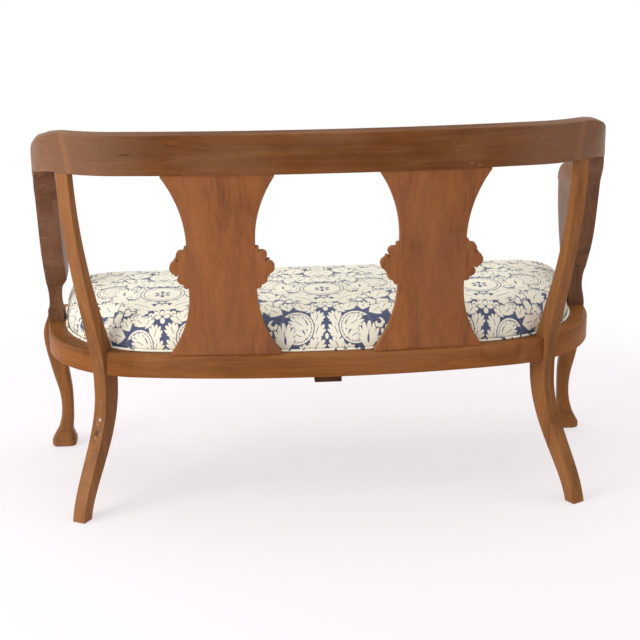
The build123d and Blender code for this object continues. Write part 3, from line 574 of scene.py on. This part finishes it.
class Leafwork:
    # cream leaves drawn one over another on the blue ground, each with a thin blue gap round it
    def __init__(self, make, across, up):
        self.make = make
        self.place = make.vector(across, up, 0.0)
        self.cream = 0.0

    def local(self, x, y, turn):
        # millimetres; the turn runs from straight up towards the outside
        angle = math.radians(turn)
        return self.make.add("ShaderNodeMapping", {"vector_type": "TEXTURE"}, Vector=self.place,
                             Location=(x / 1000, y / 1000, 0), Rotation=(0, 0, -angle))

    def polar(self, x, y, turn):
        moved = self.local(x, y, turn)
        reach = self.make.length(moved)
        swing = self.make.math("ARCTAN2", moved.xyz("X"), moved.xyz("Y"))
        return reach, swing

    def lay(self, inside):
        shape = inside.over(0.0, weave["edge"])
        room = inside.over(-weave["gap"], weave["edge"])
        self.cream = (self.cream * (1 - room)).most(shape)

    def cut(self, inside):
        self.cream = self.cream * (1 - inside.over(0.0, weave["edge"]))

    def leaf(self, x, y, turn, length, spread=0.7, fingers=5, depth=0.3):
        # a fan of lobes with a blue vein up the middle
        reach, swing = self.polar(x, y, turn)
        aside = (abs(swing) / spread).least(1.0)
        ripple = abs((swing * (fingers * math.pi / (2 * spread))).cosine())
        edge = (1 - aside * aside).power(0.45) * (ripple.power(0.6) * depth + (1 - depth)) * (length / 1000)
        self.lay(edge - reach)
        vein = (0.0007 - abs(swing) * reach).least(reach - length * 0.0003)
        self.cut(vein.least(length * 0.0007 - reach))

    def filler(self, up):
        # past the first leaves the ground is filled with small curved leaf cells and a few bare patches
        swirl = self.make.noise(self.place, filling["swirl"], 1.0, out=1)
        curved = self.make.add("ShaderNodeVectorMath", {"operation": "MULTIPLY_ADD"}, i0=swirl,
                               i1=(filling["curl"], filling["curl"], 0.0), i2=self.place)
        edges = {"feature": "DISTANCE_TO_EDGE", "voronoi_dimensions": "2D"}
        cells = self.make.add("ShaderNodeTexVoronoi", edges, Vector=curved, Scale=filling["cells"],
                              Randomness=0.9)
        bare = self.make.noise(self.place, filling["patches"], 1.0).over(filling["bare"], 0.02)
        self.cream = cells.over(filling["gap"], 0.014) * (1 - bare) * up.over(filling["start"], 0.003)

    def crescent(self, x, y, turn, radius, width, sweep):
        # a curled leaf: smooth back with a dashed spine, lobes on the hollow side
        reach, swing = self.polar(x, y, turn)
        share = ((swing + math.radians(sweep) / 2) / math.radians(sweep)).clamped()
        swell = (share * math.pi).sine().power(0.5) * (width / 1000)
        ripple = abs((share * (6 * math.pi)).sine()).power(0.7)
        hollow = reach - radius / 1000 + swell * (ripple * 0.5 + 0.65)
        self.lay((radius / 1000 - reach).least(hollow))
        dash = (0.0009 - abs(reach - (radius - 4.5) / 1000)).least((swing * 26.0).sine() * 0.002 + 0.0012)
        slit = 0.0013 - abs(reach - (radius - width * 0.62) / 1000)
        slit = slit.least((swing * 4.0).sine() * 0.004 - 0.0014)
        self.cut(dash.most(slit).least(swell - 0.006))

    def scroll(self, x, y, turn, radius, width, sweep, lobes=7, curl=0.35):
        # an arc of leaf that runs round a centre and narrows towards its curl
        reach, swing = self.polar(x, y, turn)
        share = ((swing + math.radians(sweep) / 2) / math.radians(sweep)).clamped()
        middle = (1 - share * curl) * (radius / 1000)
        ripple = abs((share * (lobes * math.pi)).sine())
        swell = (share * math.pi).sine().power(0.6) * (width / 1000)
        outer = swell * (ripple * 0.45 + 0.7) - (reach - middle)
        inner = swell * 0.8 - (middle - reach)
        self.lay(outer.least(inner))

    def drop(self, x, y, turn, wide, tall):
        moved = self.local(x, y, turn)
        scaled = self.make.vector(moved.xyz("X") / (wide / 1000), moved.xyz("Y") / (tall / 1000), 0.0)
        reach = self.make.length(scaled)
        return (1 - reach) * (min(wide, tall) / 1000)

    def star(self, x, y, radius, arms=4, turn=0):
        reach, swing = self.polar(x, y, turn)
        edge = (abs((swing * (arms / 2)).cosine()) * 0.75 + 0.2) * (radius / 1000)
        return edge - reach


def drawMotif(leaves):
    # one half of a mirrored motif, millimetres from its axis and up the cloth; rows drop by half a repeat
    leaves.leaf(178, 122, 0, 62, 1.0, 9, 0.28)
    leaves.leaf(148, 128, 30, 50, 0.8, 7)
    leaves.leaf(110, 138, 24, 60, 0.7, 9)
    leaves.leaf(76, 188, 66, 42, 0.8, 7)
    leaves.leaf(150, 64, 12, 52, 0.85, 7)
    leaves.leaf(178, 64, 0, 46, 0.9, 7)
    leaves.leaf(142, 6, -14, 48, 0.75, 5)
    leaves.leaf(176, 14, -24, 44, 0.8, 5)
    leaves.leaf(114, 0, 26, 34, 0.8, 5)
    leaves.leaf(94, 82, 58, 40, 0.9, 5)
    leaves.leaf(80, 90, 12, 34, 0.95, 5)
    leaves.leaf(122, 88, 24, 36, 0.9, 5)
    leaves.leaf(42, 84, -34, 32, 0.95, 5)
    leaves.leaf(42, 88, 34, 38, 0.8, 5)
    leaves.leaf(48, -8, 6, 24, 1.2, 5)
    leaves.leaf(30, -4, -26, 38, 1.1, 7)
    leaves.leaf(29, 26, -26, 38, 1.0, 7)
    leaves.leaf(26, 54, -20, 37, 0.95, 7)
    leaves.crescent(64, 50, -86, 36, 20, 262)
    leaves.leaf(46, 26, 66, 34, 0.8, 5)
    leaves.leaf(43, 44, 50, 46, 0.8, 7)
    leaves.leaf(91, -2, 2, 64, 0.74, 7)
    leaves.cut(leaves.drop(91, 24, 0, 2.4, 9))
    leaves.scroll(114, 58, 150, 10, 4.5, 300, 5, 0.5)
    leaves.leaf(3, 122, 54, 104, 0.36, 11, 0.28)
    leaves.lay(leaves.drop(0, 30, 0, 4, 6))
    leaves.lay(leaves.star(0, 106, 18))
    leaves.cut(leaves.star(0, 106, 5, 4, 45))
    for x, y in ((0, 216), (177.5, 11)):
        heart = leaves.drop(x, y, 0, 48, 46)
        leaves.lay(heart)
        leaves.cut(0.001 - abs(heart - 0.006))
        leaves.cut(leaves.star(x, y - 3, 20, 6))
        leaves.lay(leaves.star(x, y - 3, 12, 4, 45))
        leaves.cut(leaves.drop(x, y - 3, 0, 3, 3))


def damaskMaterial():
    material, shader, make = newMaterial("damask")
    cloth = make.attribute("cloth", "Vector")
    u, v = cloth.xyz("X"), cloth.xyz("Y")
    half = weave["repeat"] / 2
    across = make.math("PINGPONG", u, half)
    slow = weave["wanderScale"]
    wander = make.noise(make.vector(across * slow, v * slow, 0.0), 1.0, 2.0) - 0.5
    row = make.math("FLOOR", v / weave["drop"])
    odd = make.math("MODULO", abs(row), 2.0)
    offAxis = across + odd * (half - across * 2.0)
    leaves = Leafwork(make, offAxis + wander * weave["wander"], v - row * weave["drop"])
    leaves.filler(v)
    drawMotif(leaves)
    threads = (u * weave["threads"]).sine() * (v * weave["threads"]).sine()
    slub = make.noise(make.vector(u * weave["slub"][0], v * weave["slub"][1], 0.0), 1.0, 2.0)
    ground = make.blend(slub * 0.5, cushion["ground"], cushion["groundThread"])
    pale = make.blend(slub * 0.4, cushion["cream"], cushion["creamThread"])
    colour = make.blend(leaves.cream, ground, pale)
    bump = make.add("ShaderNodeBump", Strength=weave["bump"], Distance=weave["bumpDepth"],
                    Height=threads * 0.4 + slub)
    feed(shader, Base_Color=colour, Roughness=0.8 - slub * 0.1, Normal=bump, Sheen_Weight=weave["sheen"])
    return material


damask = damaskMaterial()
print("damask ready")


def coverForm():
    # starts from the pad's solid, grown to the cover and let down to the rails
    obj = copyNode("seat_pad", "seat_cushion")
    activate(obj)
    bpy.ops.object.mode_set(mode="EDIT")
    bpy.ops.mesh.select_all(action="SELECT")
    bpy.ops.transform.shrink_fatten(value=cushion["grow"])
    bpy.ops.object.mode_set(mode="OBJECT")
    for vert in obj.data.vertices:
        if vert.co.z < railTop + cushion["foot"]:
            vert.co.z = railTop + cushion["seat"]
    obj.data.remesh_voxel_size = cushion["voxel"]
    obj.data.use_remesh_fix_poles = True
    bpy.ops.object.voxel_remesh()
    return obj


def puffCushion(obj):
    rest = [vert.co.copy() for vert in obj.data.vertices]
    activate(obj)
    cloth = obj.modifiers.new("cloth", "CLOTH")
    settings = cloth.settings
    settings.use_pressure = True
    settings.uniform_pressure_force = cushion["pressure"]
    settings.tension_stiffness = cushion["stiff"]
    settings.compression_stiffness = cushion["stiff"]
    settings.effector_weights.gravity = 0
    scene = bpy.context.scene
    for step in range(1, cushion["steps"] + 1):
        scene.frame_set(step)
    bpy.ops.object.modifier_apply(modifier=cloth.name)
    scene.frame_set(1)
    for vert, start in zip(obj.data.vertices, rest):
        move = vert.co - start
        hold = min(1.0, max(0.0, (start.z - railTop - cushion["holdFrom"]) / cushion["holdOver"]))
        limit = cushion["cap"] * hold
        if move.length > limit:
            move *= limit / move.length if move.length else 0
        vert.co = start + move


def coverEdge(x, y):
    # how far inside the cover's outline a point lies in plan, and which way that edge faces
    bowY = coverBend["back"] - coverBend["bow"]
    if math.degrees(math.atan2(abs(x), y - bowY)) < coverBend["swing"]:
        reach = Vector((x, y - bowY))
        inset, normal = coverBend["bow"] - reach.length, reach.normalized()
    else:
        inset = -bendPlace(coverBend, x, y)[1]
        turn = math.atan2(abs(x) - coverBend["x"], y - coverBend["y"])
        turn = min(turn, math.radians(coverBend["turn"]))
        normal = Vector((math.copysign(math.sin(turn), x), math.cos(turn)))
    if y - coverFront < inset:
        return y - coverFront, Vector((0, -1))
    return inset, normal


def clothPlace(co):
    # where a point of the cover lies with the cloth laid flat: along the settee, and up from the back edge
    inset, normal = coverEdge(co.x, co.y)
    flat = Vector((co.x, co.y))
    if inset < cushion["plateau"]:
        length = (cushion["plateau"] - inset) * cushion["overTop"]
        if inset < cushion["shoulder"]:
            height = co.z - railTop
            steps = cushion["drop"]
            length = steps[0][1]
            for (high, less), (low, more) in zip(steps, steps[1:]):
                if height < high:
                    length = less + (more - less) * min(1.0, (high - height) / (high - low))
        flat += normal * (length - (cushion["plateau"] - inset))
    return flat.x, coverBend["back"] + cushion["lip"] - flat.y


def markCloth(obj):
    layer = obj.data.attributes.new("cloth", "FLOAT_VECTOR", "POINT")
    values = []
    for vert in obj.data.vertices:
        along, up = clothPlace(vert.co)
        values.extend((along, up, 0.0))
    layer.data.foreach_set("vector", values)


def makeCushion():
    obj = coverForm()
    markCloth(obj)
    puffCushion(obj)
    applyModifier(obj, "SMOOTH", factor=0.5, iterations=4)
    activate(obj)
    bpy.ops.object.shade_smooth()
    obj.data.materials.append(damask)
    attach(obj, "root")
    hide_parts("seat_cover", "seat_pad")
    print("cushion made:", len(obj.data.polygons), "faces")


makeCushion()


smallParts = {"spots": 180.0, "dark": 0.6, "share": 0.35, "roughSpread": 0.2}


def simpleMaterial(name, colour, rough, metal=0.0):
    # one colour with small darker spots
    material, shader, make = newMaterial(name)
    where = make.add("ShaderNodeTexCoord", out="Object")
    spots = make.noise(where, smallParts["spots"], 3.0)
    darker = tuple(c * smallParts["dark"] for c in colour[:3]) + (1,)
    shaded = make.blend(spots * smallParts["share"], colour, darker)
    uneven = rough + (spots - 0.5) * smallParts["roughSpread"]
    feed(shader, Base_Color=shaded, Roughness=uneven, Metallic=metal)
    return material


weltCord = {"dashAlong": 75.0, "dashRound": 60.0, "blue": 0.6, "twill": 2400.0,
            "bump": 0.25, "bumpDepth": 0.0003}


def weltMaterial():
    # the cover's cloth on the bias: cream with short blue dashes
    material, shader, make = newMaterial("weltCloth")
    place = make.attribute("grain", "Vector")
    along, across, deep = place.xyz("X"), place.xyz("Y"), place.xyz("Z")
    tight = weltCord["dashRound"]
    dash = make.noise(make.vector(along * weltCord["dashAlong"], across * tight, deep * tight), 1.0, 1.0)
    twill = (along * weltCord["twill"] + across * weltCord["twill"]).sine()
    colour = make.blend(dash.over(weltCord["blue"], 0.02), cushion["cream"], cushion["ground"])
    bump = make.add("ShaderNodeBump", Strength=weltCord["bump"], Distance=weltCord["bumpDepth"], Height=twill)
    feed(shader, Base_Color=colour, Roughness=0.8 + twill * 0.04, Normal=bump, Sheen_Weight=weave["sheen"])
    return material


def makeWelt():
    obj = copyNode("seat_welt", "seat_welt_cord")
    bpy.ops.object.shade_smooth()
    markGrain(obj, "rail", 0)
    obj.data.materials.append(weltMaterial())
    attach(obj, "root")
    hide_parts("seat_welt")
    print("welt made")


makeWelt()

steel = simpleMaterial("screwSteel", rgb(150, 148, 142), 0.4, 1.0)
jute = simpleMaterial("jute", rgb(176, 144, 98), 0.9)
birch = simpleMaterial("dowelWood", rgb(196, 166, 122), 0.6)
for name, obj in nodes.items():
    obj.data.materials.clear()
    if "screws" in name:
        obj.data.materials.append(steel)
    elif "dowels" in name:
        obj.data.materials.append(birch)
    else:
        obj.data.materials.append(jute)
print("small parts finished")

# floor, light and camera

studio = {
    "floor": 16.0, "below": 0.0006, "floorColour": rgb(253, 240, 247), "ambient": 0.56,
    "fadeStart": 0.5, "fadeEnd": 1.5, "pale": 0.55,  # the floor turns white between these distances
    "behindCamera": 0.25, "behindFrom": 0.35, "behindSoft": 0.4,  # the dimmer room that reflections show
    # name: place, aim, size in metres, power in watts
    "lamps": {
        "overheadLamp": ((0.0, -0.5, 3.4), (0, 0, 0.2), 4.6, 55.0),
        "leftLamp": ((3.1, 1.8, 1.7), (0, 0, 0.5), 2.0, 80.0),
        "rightLamp": ((-3.2, 1.0, 1.9), (0, 0, 0.5), 2.0, 8.0),
    },
}


def seenDirectly(make):
    # camera rays, and reflections or see-through of the background
    rays = ("Is Camera Ray", "Is Glossy Ray", "Is Transmission Ray")
    camera, glossy, through = [make.add("ShaderNodeLightPath", out=ray) for ray in rays]
    return camera.most(glossy).most(through)


def buildFloor():
    bpy.ops.object.select_all(action="DESELECT")
    bpy.ops.mesh.primitive_plane_add(size=studio["floor"], location=(0, 0, -studio["below"]))
    floor = bpy.context.object
    floor.name = "studioFloor"
    bpy.ops.object.transform_apply(location=True)
    material, shader, make = newMaterial("paleFloor")
    feed(shader, Base_Color=studio["floorColour"], Roughness=0.9, Specular_IOR_Level=0.0)
    place = make.add("ShaderNodeTexCoord", out="Object")
    away = make.length(place)
    fade = ((away - studio["fadeStart"]) / (studio["fadeEnd"] - studio["fadeStart"])).clamped()
    white = make.add("ShaderNodeEmission", Color=(1, 1, 1, 1), Strength=1.0)
    share = fade.most(studio["pale"]) * seenDirectly(make)
    mixed = make.add("ShaderNodeMixShader", i0=share, i1=Node(make.tree, shader.outputs[0]), i2=white)
    output = next(node for node in make.tree.nodes if node.type == "OUTPUT_MATERIAL")
    make.tree.links.new(mixed.socket, output.inputs[0])
    floor.data.materials.append(material)


def buildStudio():
    buildFloor()
    world = bpy.data.worlds.new("studioWorld")
    bpy.context.scene.world = world
    world.use_nodes = True
    tree = world.node_tree
    make = Node(tree, None)
    background = tree.nodes["Background"]
    camera = make.add("ShaderNodeLightPath", out="Is Camera Ray")
    towards = make.add("ShaderNodeTexCoord", out="Generated").xyz("Y")
    behind = towards.over(studio["behindFrom"], studio["behindSoft"])
    mirrored = 1 - behind * (1 - studio["behindCamera"])
    seen = seenDirectly(make)
    strength = (seen * mirrored + (1 - seen) * studio["ambient"]).most(camera)
    background.inputs[0].default_value = (1, 1, 1, 1)
    tree.links.new(strength.socket, background.inputs[1])
    for name, (place, aim, size, power) in studio["lamps"].items():
        bpy.ops.object.light_add(type="AREA", location=place)
        lamp = bpy.context.object
        lamp.name = name
        lamp.data.size = size
        lamp.data.energy = power
        lamp.rotation_euler = (Vector(aim) - Vector(place)).to_track_quat("-Z", "Y").to_euler()


def buildCamera():
    place, right, up, ahead = cameraAxes()
    bpy.ops.object.camera_add()
    camera = bpy.context.object
    camera.name = "photoCamera"
    camera.data.lens = photoCamera["focal"]
    camera.data.sensor_width = photoCamera["sensor"]
    camera.data.sensor_fit = "HORIZONTAL"
    camera.matrix_world = Matrix((
        (right.x, up.x, -ahead.x, place.x),
        (right.y, up.y, -ahead.y, place.y),
        (right.z, up.z, -ahead.z, place.z),
        (0, 0, 0, 1),
    ))
    bpy.context.scene.camera = camera


buildStudio()
buildCamera()
bpy.context.scene.view_settings.view_transform = "Standard"
bpy.context.view_layer.update()
print("studio ready")
